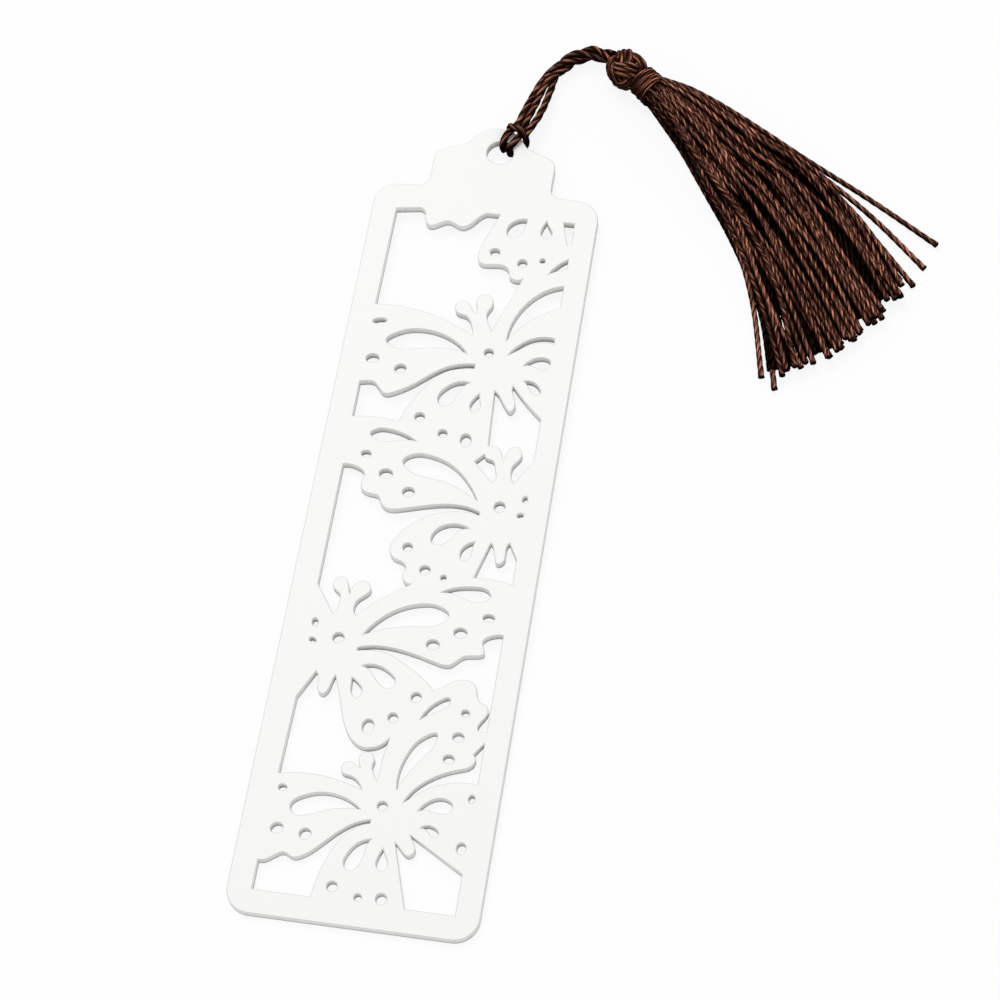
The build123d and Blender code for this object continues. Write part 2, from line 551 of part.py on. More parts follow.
# The least gap between turns of the neck thread, on points along it
spots = [(path_at, wrap_path @ (path_at / 400)) for path_at in range(401)]
turn_length = wrap_path.length / WRAP_TURNS
far_apart = 0.5 * turn_length / wrap_path.length * 400
gaps = [(p - q).length for i, p in spots for j, q in spots if j - i > far_apart]
print("thread gap", round(min(gaps) - WRAP_THREAD, 3))
print("plate", round(plate.volume, 1), plate.is_valid, "floor", round(FLOOR, 3))
print("ball", [round(value, 4) for value in BALL], "hole", HOLE_X, HOLE_Y)
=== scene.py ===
import math
import random

import bmesh
import bpy
import numpy as np
from mathutils import Matrix, Vector


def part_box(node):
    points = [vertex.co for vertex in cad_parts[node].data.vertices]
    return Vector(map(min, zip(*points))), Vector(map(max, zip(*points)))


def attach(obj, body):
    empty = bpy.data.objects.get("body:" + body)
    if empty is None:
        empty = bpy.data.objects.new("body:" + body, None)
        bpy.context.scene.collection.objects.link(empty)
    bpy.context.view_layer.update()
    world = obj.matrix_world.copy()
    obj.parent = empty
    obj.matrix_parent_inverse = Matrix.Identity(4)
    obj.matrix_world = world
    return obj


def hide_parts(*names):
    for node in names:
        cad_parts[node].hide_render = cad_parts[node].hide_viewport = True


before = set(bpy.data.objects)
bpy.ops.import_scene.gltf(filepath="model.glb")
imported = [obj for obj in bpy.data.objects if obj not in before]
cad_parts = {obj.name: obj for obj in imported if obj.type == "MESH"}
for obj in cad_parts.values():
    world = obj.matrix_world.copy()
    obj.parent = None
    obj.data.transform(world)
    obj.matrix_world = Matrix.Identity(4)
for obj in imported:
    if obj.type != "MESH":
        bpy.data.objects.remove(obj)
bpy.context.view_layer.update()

bl_info = {
    "name": "Tasselled bookmark",
    "version": (1, 0, 0),
    "blender": (4, 5, 0),
    "location": "3D View > Sidebar > Bookmark",
    "description": "Finishes a pierced bookmark plate with its twisted cord, woven knot and fringe",
    "category": "Object",
}

MM = 0.001  # routes and small sizes below are written in millimetres

# Sizes that follow from the frame
PLATE_LOW, PLATE_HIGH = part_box("plate")
BALL_LOW, BALL_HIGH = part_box("ball_knot")
BALL = (BALL_LOW + BALL_HIGH) / 2 / MM
PLATE_TOP = PLATE_HIGH.y / MM
PLATE_FOOT = PLATE_LOW.y / MM
PLATE_LENGTH = PLATE_TOP - PLATE_FOOT
PLATE_THICKNESS = (PLATE_HIGH.z - PLATE_LOW.z) / MM
CORD_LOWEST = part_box("cord_loop")[0].z / MM
FRINGE_NODES = sorted(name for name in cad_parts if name.startswith("fringe_strand"))

# The tassel's own directions, and places along them from the ball's centre
TASSEL_ANGLE = math.radians(-42)
HEADING = Vector((math.cos(TASSEL_ANGLE), math.sin(TASSEL_ANGLE), 0))
SIDEWAYS = Vector((-HEADING.y, HEADING.x, 0))
UP = Vector((0, 0, 1))
NECK_ASIDE = 0.6  # the neck sits this far to the left of the ball's centre
FRINGE_START = 9.25


def ground(y):
    """Height of the table in millimetres: the plate's lower edge and the cord behind its tab lie on it."""
    return CORD_LOWEST * (y - PLATE_FOOT) / PLATE_LENGTH


class Socket:
    """An output in a node tree, or the bare tree. Sums and products of sockets add Math nodes."""

    def __init__(self, tree, output=None):
        self.tree = tree
        self.output = output

    def node(self, kind, settings=None, inputs=None, out=0):
        """Add a node: its settings first, then its sockets by name or number. Gives one output.

        A list of sockets goes into one input that takes several."""
        made = self.tree.nodes.new(kind)
        for name, value in (settings or {}).items():
            if name == "stops":
                while len(made.color_ramp.elements) < len(value):
                    made.color_ramp.elements.new(1)
                for element, (place, tint) in zip(made.color_ramp.elements, value):
                    element.position = place
                    element.color = tint
            else:
                setattr(made, name, value)
        for key, value in (inputs or {}).items():
            for flow in value if isinstance(value, list) else [value]:
                if isinstance(flow, Socket):
                    self.tree.links.new(flow.output, made.inputs[key])
                else:
                    made.inputs[key].default_value = flow
        return Socket(self.tree, made.outputs[out]) if made.outputs else made

    def math(self, operation, first, second=0.0):
        """A Math node."""
        return self.node("ShaderNodeMath", {"operation": operation}, {0: first, 1: second})

    def mix(self, factor, first, second):
        """A blend of two colours."""
        return self.node("ShaderNodeMix", {"data_type": "RGBA"}, {0: factor, 6: first, 7: second}, 2)

    def __add__(self, other):
        return self.math("ADD", self, other)

    def __sub__(self, other):
        return self.math("SUBTRACT", self, other)

    def __rsub__(self, other):
        return self.math("SUBTRACT", other, self)

    def __mul__(self, other):
        return self.math("MULTIPLY", self, other)

    def __truediv__(self, other):
        return self.math("DIVIDE", self, other)

    __radd__ = __add__
    __rmul__ = __mul__


def colour(red, green, blue):
    """A colour written as it looks on screen, 0 to 255, in the linear values that a shader takes."""
    parts = [value / 255 for value in (red, green, blue)]
    linear = [part / 12.92 if part <= 0.04045 else ((part + 0.055) / 1.055) ** 2.4 for part in parts]
    return (*linear, 1.0)


def new_material(name, **constants):
    """A material with a Principled shader; the constants go straight on the shader's sockets."""
    material = bpy.data.materials.new(name)
    material.use_nodes = True
    tree = material.node_tree
    shader = tree.nodes["Principled BSDF"]
    for socket, value in constants.items():
        shader.inputs[socket.replace("_", " ")].default_value = value
    return material, Socket(tree), shader


def plug(node, name, flow):
    """Link a flow to one of a node's sockets."""
    flow.tree.links.new(flow.output, node.inputs[name])


def painted_white(look):
    """Matte white: a faint cloudiness, a fine grain that catches the light, and shade painted on the walls.
    """
    material, tree, shader = new_material("matte_white_paint", Specular_IOR_Level=0.35)
    place = tree.node("ShaderNodeTexCoord", out="Object")
    cloud = tree.node("ShaderNodeTexNoise", None, {"Vector": place, "Scale": 55.0, "Detail": 3.0})
    grain = tree.node("ShaderNodeTexNoise", None, {"Vector": place, "Scale": 2600.0, "Detail": 2.0})
    depth = tree.node("ShaderNodeAttribute", {"attribute_name": "depth"}, out="Fac")
    base = Vector(look.paint)
    face = tree.mix(cloud, (*(base * 0.985), 1), (*base, 1))
    # Painted shade: at the walls' foot and along the rounded top edge the paint turns to the shade colour
    plug(shader, "Base Color", tree.mix(depth, face, (*look.cut, 1)))
    plug(shader, "Roughness", 0.5 + 0.08 * cloud + 0.06 * grain)
    bump = tree.node("ShaderNodeBump", None, {"Strength": 0.05, "Distance": 0.02 * MM, "Height": grain})
    plug(shader, "Normal", bump)
    return material


def satin_thread(name, look, shade, glint=1.0, flank=0.5, groove_shade=1.0):
    """Satin thread with painted light: painted highlights on bright fibres along each ply, painted shade
    between the plies and on the strands' sides, and some plies darker than others.

    A high glint makes the painted highlights fewer. Flank sets how much shade is painted on the strands'
    sides and undersides, and the weight after it how much is painted on the lines between the plies. Shade
    scales all the colours, so the same thread is painted brighter or darker on each part."""
    material, tree, shader = new_material(
        name, Specular_IOR_Level=0.0, Coat_Roughness=0.35, Coat_Tint=(*look.gleam, 1))
    around, along, crest, tone, up = (
        tree.node("ShaderNodeAttribute", {"attribute_name": attribute}, out="Fac")
        for attribute in ("around", "along", "crest", "tone", "up"))
    where = tree.node("ShaderNodeCombineXYZ", None,
                      {"X": around * 20.0, "Y": along * 220.0, "Z": tone * 37.0})
    fibre = tree.node("ShaderNodeTexNoise", None, {"Vector": where, "Scale": 1.6, "Detail": 3.0})
    patch = tree.node("ShaderNodeTexNoise", None, {"Vector": where, "Scale": 0.7, "Detail": 1.0})
    # Painted light: bright fibres for the satin highlights, painted shade between the plies and, by how far a
    # point faces up, on the strands' sides and undersides; tone and patch vary it at random
    painted_glint = tree.math("POWER", tree.math("MAXIMUM", 3.4 * fibre - 1.2, 0.0), glint)
    ply = 1.0 - groove_shade + groove_shade * tree.math("POWER", crest, 1.5)
    tone_and_flank_shade = (0.65 + 0.7 * tone) * (1.6 * patch + 0.2) * (1.0 - flank + flank * tree.math("POWER", up, 2.0))
    lit = ply * (0.08 + 1.25 * painted_glint) * tone_and_flank_shade
    # The ramp turns the painted light into colour: near black for the shade, light brown for the highlights
    stops = [(place, (*(Vector(tint) * shade), 1)) for place, tint in
             ((0.0, look.dark), (0.35, look.middle), (1.0, look.light))]
    plug(shader, "Base Color", tree.node("ShaderNodeValToRGB", {"stops": stops}, {"Fac": lit}))
    plug(shader, "Roughness", 0.6 - 0.1 * crest + 0.1 * fibre)
    plug(shader, "Coat Weight", lit * shade * 0.3)
    bump = tree.node("ShaderNodeBump", None, {"Strength": 0.4, "Distance": 0.05 * MM, "Height": fibre})
    plug(shader, "Normal", bump)
    return material


STRAND_INPUTS = {
    "Geometry": "Geometry", "Thickness": "Float", "Turn Length": "Float", "Step": "Float", "Sides": "Int",
    "Seed": "Int", "Both Ways": "Bool", "Core Radius": "Float", "Core Place": "Vector",
    "Material": "Material"}
OTHER_WAY = 0.12  # share of the strands that are twisted the other way, where both ways are wanted
# A strand of thickness 2: its plies, how far their middles lie from its own, and their radius
PLIES = 3
PLY_OFFSET = 0.29
PLY_RADIUS = 0.71


def strand_tree():
    """Node tree that spins each curve into a strand of twisted plies, round a ball if it is given one."""
    tree = bpy.data.node_groups.new("twisted_strand", "GeometryNodeTree")
    for name, kind in STRAND_INPUTS.items():
        tree.interface.new_socket(name, in_out="INPUT", socket_type="NodeSocket" + kind)
    tree.interface.new_socket("Geometry", in_out="OUTPUT", socket_type="NodeSocketGeometry")
    bare = Socket(tree)
    given = {name: bare.node("NodeGroupInput", out=name) for name in STRAND_INPUTS}

    def stored(geometry, name, value):
        """The geometry with a value kept on its points, for the material to read."""
        return bare.node("GeometryNodeStoreNamedAttribute", {"data_type": "FLOAT", "domain": "POINT"},
                         {"Geometry": geometry, "Name": name, "Value": value})

    # Line: each curve in even steps, turned more and more about itself
    line = bare.node("GeometryNodeResampleCurve", {"mode": "LENGTH"},
                     {"Curve": given["Geometry"], "Length": given["Step"]})
    number = bare.node("GeometryNodeInputIndex")
    curve_number = bare.node("GeometryNodeFieldOnDomain", {"domain": "CURVE", "data_type": "INT"},
                             {0: number})
    chance = bare.node("FunctionNodeRandomValue", {"data_type": "FLOAT"},
                       {2: 0.0, 3: 1.0, "ID": curve_number, "Seed": given["Seed"]}, 1)
    length = bare.node("GeometryNodeSplineParameter", out="Length")
    hand = 1.0 - 2.0 * given["Both Ways"] * bare.math("LESS_THAN", chance, OTHER_WAY)
    turn = (length / given["Turn Length"] * hand + chance) * (2 * math.pi)
    line = bare.node("GeometryNodeSetCurveTilt", None, {"Curve": line, "Tilt": turn})
    line = stored(stored(line, "along", length), "tone", chance)

    # Section: the outline of round plies side by side, as one closed loop
    widest = math.pi / PLIES
    waist = PLY_OFFSET * math.cos(widest) + math.sqrt(PLY_RADIUS ** 2 - (PLY_OFFSET * math.sin(widest)) ** 2)
    ring = bare.node("GeometryNodeCurvePrimitiveCircle", {"mode": "RADIUS"},
                     {"Resolution": given["Sides"], "Radius": 1.0})
    round_share = bare.node("GeometryNodeSplineParameter", out="Factor")
    off_crest = (bare.math("FRACT", round_share * PLIES) - 0.5) * (2 * widest)
    aside = bare.math("SINE", off_crest) * PLY_OFFSET
    reach = bare.math("COSINE", off_crest) * PLY_OFFSET + bare.math("SQRT", PLY_RADIUS ** 2 - aside * aside)
    spot = bare.node("GeometryNodeInputPosition")
    outline = bare.node("ShaderNodeVectorMath", {"operation": "SCALE"},
                        {0: spot, "Scale": reach * given["Thickness"] * 0.5})
    ring = stored(ring, "around", round_share)
    # Crest: how near a point lies to a ply's crest, which the material turns into painted shade and
    # highlights
    ring = stored(ring, "crest", (reach - waist) / (1 - waist))
    ring = bare.node("GeometryNodeSetPosition", None, {"Geometry": ring, "Position": outline})

    # Body: the section along the line, and the ball that some strands are woven round
    scale = bare.node("GeometryNodeInputRadius")
    body = bare.node("GeometryNodeCurveToMesh", None,
                     {"Curve": line, "Profile Curve": ring, "Scale": scale, "Fill Caps": True})
    # Up: how far each point faces up, which the material uses to paint shade on the sides and undersides
    outward = bare.node("GeometryNodeInputNormal")
    height = bare.node("ShaderNodeSeparateXYZ", None, {0: outward}, "Z")
    body = stored(body, "up", bare.math("MAXIMUM", height, 0.0))
    core = bare.node("GeometryNodeMeshIcoSphere", None, {"Radius": given["Core Radius"], "Subdivisions": 4})
    core = bare.node("GeometryNodeTransform", None, {"Geometry": core, "Translation": given["Core Place"]})
    wanted = bare.node("FunctionNodeCompare", {"data_type": "FLOAT", "operation": "GREATER_THAN"},
                       {0: given["Core Radius"], 1: 0.0})
    core = bare.node("GeometryNodeSwitch", {"input_type": "GEOMETRY"}, {"Switch": wanted, "True": core})
    both = bare.node("GeometryNodeJoinGeometry", None, {"Geometry": [core, body]})
    done = bare.node("GeometryNodeSetShadeSmooth", None, {"Geometry": both})
    done = bare.node("GeometryNodeRealizeInstances", None, {"Geometry": done})
    done = bare.node("GeometryNodeSetMaterial", None, {"Geometry": done, "Material": given["Material"]})
    bare.node("NodeGroupOutput", None, {"Geometry": done})
    return tree


def route(name, lines, closed=False, radii=None):
    """A curve object of smooth splines; each line is a list of control points in millimetres."""
    data = bpy.data.curves.new(name, "CURVE")
    data.dimensions = "3D"
    data.resolution_u = 8
    for index, points in enumerate(lines):
        spline = data.splines.new("NURBS")
        spline.points.add(len(points) - 1)
        for number, (control, point) in enumerate(zip(spline.points, points)):
            control.co = (*(Vector(point) * MM), 1)
            control.radius = radii[index][number] if radii else 1.0
        spline.order_u = 3
        spline.use_endpoint_u = not closed
        spline.use_cyclic_u = closed
    curve = bpy.data.objects.new(name, data)
    bpy.context.scene.collection.objects.link(curve)
    return curve


def read_line(name, points):
    """Points in millimetres along the smooth spline of a route."""
    curve = route(name, [points])
    graph = bpy.context.evaluated_depsgraph_get()
    mesh = bpy.data.meshes.new_from_object(curve.evaluated_get(graph), depsgraph=graph)
    line = [vertex.co / MM for vertex in mesh.vertices]
    bpy.data.meshes.remove(mesh)
    bpy.data.objects.remove(curve)
    return line


def link_mesh(name, mesh):
    """A new object at the origin that shows a mesh."""
    piece = bpy.data.objects.new(name, mesh)
    bpy.context.scene.collection.objects.link(piece)
    return piece


def spun(name, lines, material, thickness, turn_length, step, sides, seed=0, closed=False, radii=None,
         core=None, both_ways=False):
    """Twisted strands along smooth routes, sizes in millimetres, as one plain mesh.

    Radii scale the strands at their control points; core is the radius and place of a ball in them."""
    curve = route(name + "_route", lines, closed, radii)
    tree = bpy.data.node_groups.get("twisted_strand") or strand_tree()
    modifier = curve.modifiers.new("twist", "NODES")
    modifier.node_group = tree
    values = {
        "Thickness": thickness * MM, "Turn Length": turn_length * MM, "Step": step * MM, "Sides": sides,
        "Seed": seed, "Both Ways": both_ways, "Core Radius": 0.0, "Material": material}
    if core:
        values["Core Radius"] = core[0] * MM
        values["Core Place"] = Vector(core[1]) * MM
    for item in tree.interface.items_tree:
        if item.in_out == "INPUT" and item.name in values:
            modifier[item.identifier] = values[item.name]
    graph = bpy.context.evaluated_depsgraph_get()
    mesh = bpy.data.meshes.new_from_object(curve.evaluated_get(graph), depsgraph=graph)
    mesh.name = name
    curve.modifiers.remove(modifier)
    bpy.data.objects.remove(curve)
    if not mesh.polygons:
        raise RuntimeError(f"{name} came out empty")
    return link_mesh(name, mesh)


def outlines(node):
    """The closed outlines of a flat node's upper face, as arrays of x and y in metres."""
    same_place, same_height = 1e-7, 1e-6
    shape = bmesh.new()
    shape.from_mesh(node.data)
    bmesh.ops.remove_doubles(shape, verts=shape.verts, dist=same_place)
    top = max(vertex.co.z for vertex in shape.verts)
    flat = [face for face in shape.faces if all(top - vertex.co.z < same_height for vertex in face.verts)]
    upper = set(flat)
    ahead = {}
    for face in flat:
        for loop in face.loops:
            if sum(other in upper for other in loop.edge.link_faces) == 1:
                ahead[loop.vert] = loop.link_loop_next.vert
    found = []
    while ahead:
        first, here = ahead.popitem()
        line = [first]
        while here is not first:
            line.append(here)
            here = ahead.pop(here)
        found.append(np.array([vertex.co.xy for vertex in line]))
    shape.free()
    return found


def thinned(line, least_turn, longest):
    """Drop points of an outline where it hardly turns, so that its walls have few faces."""
    kept = [0]
    for i in range(1, len(line)):
        before = line[i] - line[kept[-1]]
        after = line[(i + 1) % len(line)] - line[i]
        turn = abs(math.atan2(before[0] * after[1] - before[1] * after[0], before @ after))
        if turn > least_turn or np.hypot(*before) > longest:
            kept.append(i)
    return line[kept]


def inset_ways(line):
    """For each point of an outline, the way that moves both of its edges one unit into the sheet.

    Also tells which points are corners: there the two edges' ways agree less."""
    least_share, corner_share = 0.25, 1.8
    ahead = np.roll(line, -1, axis=0) - line
    ahead /= np.hypot(ahead[:, 0], ahead[:, 1])[:, None]
    into = np.stack([-ahead[:, 1], ahead[:, 0]], axis=1)
    before = np.roll(into, 1, axis=0)
    share = 1 + (into * before).sum(axis=1)
    ways = (into + before) / np.maximum(share, least_share)[:, None]
    return ways, share < corner_share


# How much painted shade the plate's walls show at each step up from the back: most at the foot, where
# shade falls, and a grey line on the rounded top edge that stands in for its shading
WALL_SHADES = [0.0, 0.95, 0.22, 0.0, 0.12, 0.5, 0.0]
WALL_MIDDLE = 0.4  # height of the middle step, as a share of the thickness


def soft_edged_sheet(name, lines, thickness, edge, back_edge):
    """A sheet with these outlines, its edges rounded over at the top and hardly at the back."""
    shape = bmesh.new()
    quarter = [math.radians(angle) for angle in (0, 30, 60, 90)]
    profile = [(1 - math.sin(angle), 1 - math.cos(angle)) for angle in quarter]
    steps = [(inset * back_edge, low * back_edge) for inset, low in profile[::3]]
    steps += [(0.0, WALL_MIDDLE * thickness)]
    steps += [(inset * edge, thickness - low * edge) for inset, low in reversed(profile)]
    # Each ring keeps the share of painted shade that its part of the walls shows
    depth = shape.verts.layers.float.new("depth")
    rims = {0: [], len(steps) - 1: []}
    for line in lines:
        ways, corners = inset_ways(line)
        rings = [[shape.verts.new((*point, height)) for point in line + ways * inset]
                 for inset, height in steps]
        for ring, shade in zip(rings, WALL_SHADES):
            for vertex in ring:
                vertex[depth] = shade
        count = len(line)
        for lower, upper in zip(rings, rings[1:]):
            for i in range(count):
                k = (i + 1) % count
                wall = shape.faces.new((lower[i], lower[k], upper[k], upper[i]))
                wall.smooth = True
        for level in rims:
            ring = rings[level]
            for i in range(count):
                rim = shape.edges.get((ring[i], ring[(i + 1) % count]))
                rim.smooth = False
                rims[level].append(rim)
        for lower, upper in zip(rings, rings[1:]):
            for i in np.flatnonzero(corners):
                shape.edges.get((lower[i], upper[i])).smooth = False
    for level, edges in rims.items():
        bmesh.ops.triangle_fill(shape, use_beauty=True, use_dissolve=False, edges=edges,
                                normal=(0, 0, 1 if level else -1))
    bmesh.ops.recalc_face_normals(shape, faces=shape.faces[:])
    mesh = bpy.data.meshes.new(name)
    shape.to_mesh(mesh)
    shape.free()
    return mesh


class PlateLook(bpy.types.PropertyGroup):
    """Finish of the pierced plate, and the shade painted on its walls."""

    edge: bpy.props.FloatProperty(
        name="Edge rounding", description="Radius of the softened edges", default=0.18 * MM, unit="LENGTH",
        precision=5)
    back_edge: bpy.props.FloatProperty(
        name="Back edge", description="Size of the small bevel at the back", default=0.04 * MM, unit="LENGTH",
        precision=5)
    # Painted shade: the colour that the walls turn to at their foot and along the rounded top edge
    cut: bpy.props.FloatVectorProperty(
        name="Cut edge", description="Colour deep in the cut edges", subtype="COLOR",
        default=(0.34, 0.33, 0.32))
    paint: bpy.props.FloatVectorProperty(
        name="Paint", description="Colour of the matte paint", subtype="COLOR", default=(0.952, 0.946, 0.932))


class ThreadLook(bpy.types.PropertyGroup):
    """Colours and twist of the cord, the knot and the binding."""

    thickness: bpy.props.FloatProperty(
        name="Cord thickness", description="Across all plies", default=1.33 * MM, unit="LENGTH", precision=5)
    turn: bpy.props.FloatProperty(
        name="Cord turn", description="Length of one full twist of the cord", default=8.2 * MM,
        unit="LENGTH", precision=5)
    # Painted shade: the near-black brown between the plies stands in for the shade there
    dark: bpy.props.FloatVectorProperty(
        name="Groove colour", description="Brown between the plies", subtype="COLOR",
        default=colour(3, 1, 1)[:3])
    middle: bpy.props.FloatVectorProperty(
        name="Flank colour", description="Brown on the plies' flanks", subtype="COLOR",
        default=colour(66, 35, 26)[:3])
    # Painted highlight: the light brown on the plies' crests stands in for their satin highlight
    light: bpy.props.FloatVectorProperty(
        name="Crest colour", description="Brown on the plies' crests", subtype="COLOR",
        default=colour(208, 142, 114)[:3])
    gleam: bpy.props.FloatVectorProperty(
        name="Gleam", description="Tint of the satin gloss", subtype="COLOR", default=(1.0, 0.7, 0.55))


class KnotLook(bpy.types.PropertyGroup):
    """Weave of the ball knot and turns of the binding."""

    leads: bpy.props.IntProperty(
        name="Leads", description="Times the cord goes round the ball", default=3, min=1, subtype="UNSIGNED")
    bights: bpy.props.IntProperty(
        name="Bights", description="Bends at each end of the ball", default=4, min=1, subtype="UNSIGNED")
    strands: bpy.props.IntProperty(
        name="Strands", description="Cords side by side in a band", default=3, min=1, subtype="UNSIGNED")
    cord: bpy.props.FloatProperty(
        name="Knot cord", description="Thickness of the knot's cords", default=0.98 * MM, unit="LENGTH",
        precision=5)
    turns: bpy.props.IntProperty(
        name="Binding turns", description="Turns of thread on the neck", default=7, min=1,
        subtype="UNSIGNED")
    thread: bpy.props.FloatProperty(
        name="Binding thread", description="Thickness of the binding's thread", default=0.62 * MM,
        unit="LENGTH", precision=5)


class FringeLook(bpy.types.PropertyGroup):
    """The fringe's strands."""

    close: bpy.props.IntProperty(
        name="Close strands", description="Strands in each of the two lowest rows", default=31, min=1,
        subtype="UNSIGNED")
    loose: bpy.props.IntProperty(
        name="Loose strands", description="Strands that lie over them", default=35, min=6, subtype="UNSIGNED")
    thickness: bpy.props.FloatProperty(
        name="Strand thickness", description="Across all plies", default=1.0 * MM, unit="LENGTH", precision=5)
    turn: bpy.props.FloatProperty(
        name="Strand turn", description="Length of one full twist", default=6.0 * MM, unit="LENGTH",
        precision=5)
    seed: bpy.props.IntProperty(name="Seed", description="Start of the random lie", default=7)


class StageLook(bpy.types.PropertyGroup):
    """Light and floor of the picture."""

    sky: bpy.props.FloatProperty(
        name="Sky", description="Strength of the even light", default=0.71, min=0, max=1, subtype="FACTOR")
    lamp: bpy.props.FloatProperty(
        name="Lamp", description="Power of the soft overhead lamp", default=6.5, unit="POWER")


class BOOKMARK_OT_plate(bpy.types.Operator):
    """Dress the pierced plate in matte paint, with softened edges"""

    bl_idname = "bookmark.plate"
    bl_label = "Pierced plate"

    def execute(self, context):
        look = context.scene.bookmark_plate
        least_turn, longest = math.radians(1.5), 2 * MM
        lines = [thinned(line, least_turn, longest) for line in outlines(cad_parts["plate"])]
        mesh = soft_edged_sheet("pierced_plate", lines, PLATE_THICKNESS * MM, look.edge, look.back_edge)
        mesh.materials.append(painted_white(look))
        plate = link_mesh("pierced_plate", mesh)
        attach(plate, "plate")
        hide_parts("plate")
        return {"FINISHED"}


# The rope from the plate's edge to the ball: x and y of its middle, y from the tab's top, the spread and
# height of its outer strands, the rise of its middle strand, and how far it has twisted, in degrees
ROPE = [
    (4.85, 3.0, 1.42, 1.75, 0.1, 0),
    (5.55, 6.3, 1.42, 1.0, 0.1, 0),
    (6.15, 10.3, 1.22, 0.15, 0.35, 0),
    (7.3, 13.7, 0.8, -0.3, 1.0, 40),
    (9.4, 16.9, 0.74, -0.35, 1.2, 130),
    (12.3, 18.75, 0.74, -0.05, 1.2, 240),
    (15.2, 18.9, 0.74, 0.65, 1.2, 340),
]
MIDDLE_ASIDE = -0.12  # the middle strand lies off the middle by this share of the spread
# The strands reach the ball from this direction, twisted so far, and end this near to its centre
ENTRY = math.radians(138)
ENTRY_TWIST = 430
ENTRY_RADIUS = 3.0
# The hitch: heights of the cord's line in front of the plate and behind it, and the hanging hole's middle
FRONT = 2.12
BACK = -0.69
HOLE = Vector((0.7, 69.8))
# Between the hitch and the rope the cord's two ends and its tail pass these places
LEFT_LEG = (3.0, PLATE_TOP + 0.7, FRONT)
MIDDLE_LEG = (4.15, PLATE_TOP + 0.5, FRONT)
TAIL_LEG = [(4.5, PLATE_TOP - 1.9, FRONT), (5.4, PLATE_TOP + 0.4, FRONT)]


def rope_strand(side):
    """Control points of one strand of the rope: side -1 left, 0 middle, 1 right."""
    stops = [Vector((x, y + PLATE_TOP, height + rise / 3)) for x, y, _, height, rise, _ in ROPE]
    stops.append(BALL + Vector((math.cos(ENTRY), math.sin(ENTRY), 0)) * ENTRY_RADIUS)
    _, _, spreads, _, rises, turns = zip(*ROPE)
    spreads, rises, turns = (*spreads, spreads[-1]), (*rises, rises[-1]), (*turns, ENTRY_TWIST)
    reach = np.cumsum([0] + [(b - a).length for a, b in zip(stops, stops[1:])])
    line = read_line("rope_middle", stops)[::2]  # every second point is enough
    along = np.cumsum([0] + [(b - a).length for a, b in zip(line, line[1:])])
    points = []
    for i, place in enumerate(line):
        share = along[i] / along[-1] * reach[-1]
        spread, rise, turn = (np.interp(share, reach, values) for values in (spreads, rises, turns))
        ahead = (line[min(i + 1, len(line) - 1)] - line[max(i - 1, 0)]).normalized()
        right = ahead.cross(UP).normalized()
        over = right.cross(ahead)
        across = spread * (side or MIDDLE_ASIDE)
        lift = (2 if side == 0 else -1) * rise / 3  # the three strands balance about the rope's middle
        spin = math.radians(turn)
        points.append(place + right * (across * math.cos(spin) + lift * math.sin(spin))
                      + over * (lift * math.cos(spin) - across * math.sin(spin)))
    return points


def from_hole(radius, direction, height):
    """A point seen from the middle of the hanging hole."""
    turn = math.radians(direction)
    return Vector((HOLE.x + radius * math.cos(turn), HOLE.y + radius * math.sin(turn), height))


def hitch():
    """Control points of the hitch: through the hole, round the edge, over the legs and back again."""
    left = [(4.3, 77, FRONT), (2.9, 82, FRONT), (2.0, 84, 2.0), (1.76, 84, 1.1), (1.76, 85, 0.3),
            (2.1, 85, BACK), (3.2, 84, BACK), (4.7, 83, BACK), (5.7, 82.5, -0.3), (5.85, 82, 0.8),
            (5.6, 80.5, 1.8)]
    bar = [(5.15, 76, 2.75), (4.9, 67, 3.25), (4.9, 58, 3.35), (5.05, 51, 3.25), (5.15, 46, 2.8)]
    right = [(5.3, 42, 2.0), (5.35, 40, 1.0), (5.28, 39, -0.25), (4.3, 38, BACK), (3.1, 38, BACK),
             (2.1, 38, BACK), (1.76, 38, 0.3), (1.76, 38, 1.1), (2.05, 39, 2.0), (2.8, 42, FRONT),
             (3.6, 46, FRONT), (5.0, 51, FRONT)]
    return [from_hole(*stop) for stop in left + bar + right]


class BOOKMARK_OT_cord(bpy.types.Operator):
    """Twist the hanging cord through the plate's hole, with its loose tail"""

    bl_idname = "bookmark.cord"
    bl_label = "Hanging cord"

    def execute(self, context):
        look = context.scene.bookmark_thread
        thread = satin_thread("brown_cord", look, shade=0.9, glint=1.7, flank=0.85)
        thickness, turn = look.thickness / MM, look.turn / MM
        loop_line = [*reversed(rope_strand(-1)), LEFT_LEG, *hitch(), MIDDLE_LEG, *rope_strand(0)]
        tail_line = [*TAIL_LEG, *rope_strand(1)]
        cord = spun("hitch_cord", [loop_line], thread, thickness, turn, step=0.16, sides=16)
        tail = spun("loose_tail", [tail_line], thread, thickness, turn, step=0.16, sides=16, seed=3)
        for piece, node in ((cord, "cord_loop"), (tail, "cord_tail")):
            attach(piece, "cord")
            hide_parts(node)
        path = [point * MM for point in read_line("cord_line", loop_line)]
        return {"FINISHED"}


# The ball knot: radius of its weave and of the core in it, how far the cords rise and dip where they cross,
# how near their bends come to the ball's ends, the cords' distance in a band, and the points on a cord
KNOT_RADIUS = 3.0
KNOT_CORE = 2.6
KNOT_WEAVE = 0.36
KNOT_BEND = math.radians(60)
KNOT_PITCH = 0.86
KNOT_POINTS = 160
# The binding: its two ends from the ball's centre, its radius at the first, how much that grows on the way
# and wavers, the wavers in a turn, the length of its thread's twist, and the points in a turn
BINDING_START, BINDING_END = 3.55, 7.4
BINDING_RADIUS = 2.62
BINDING_GROWTH = 0.16
BINDING_WAVER = 0.07
BINDING_PACE = 0.37
BINDING_TWIST = 14.0
BINDING_POINTS = 16


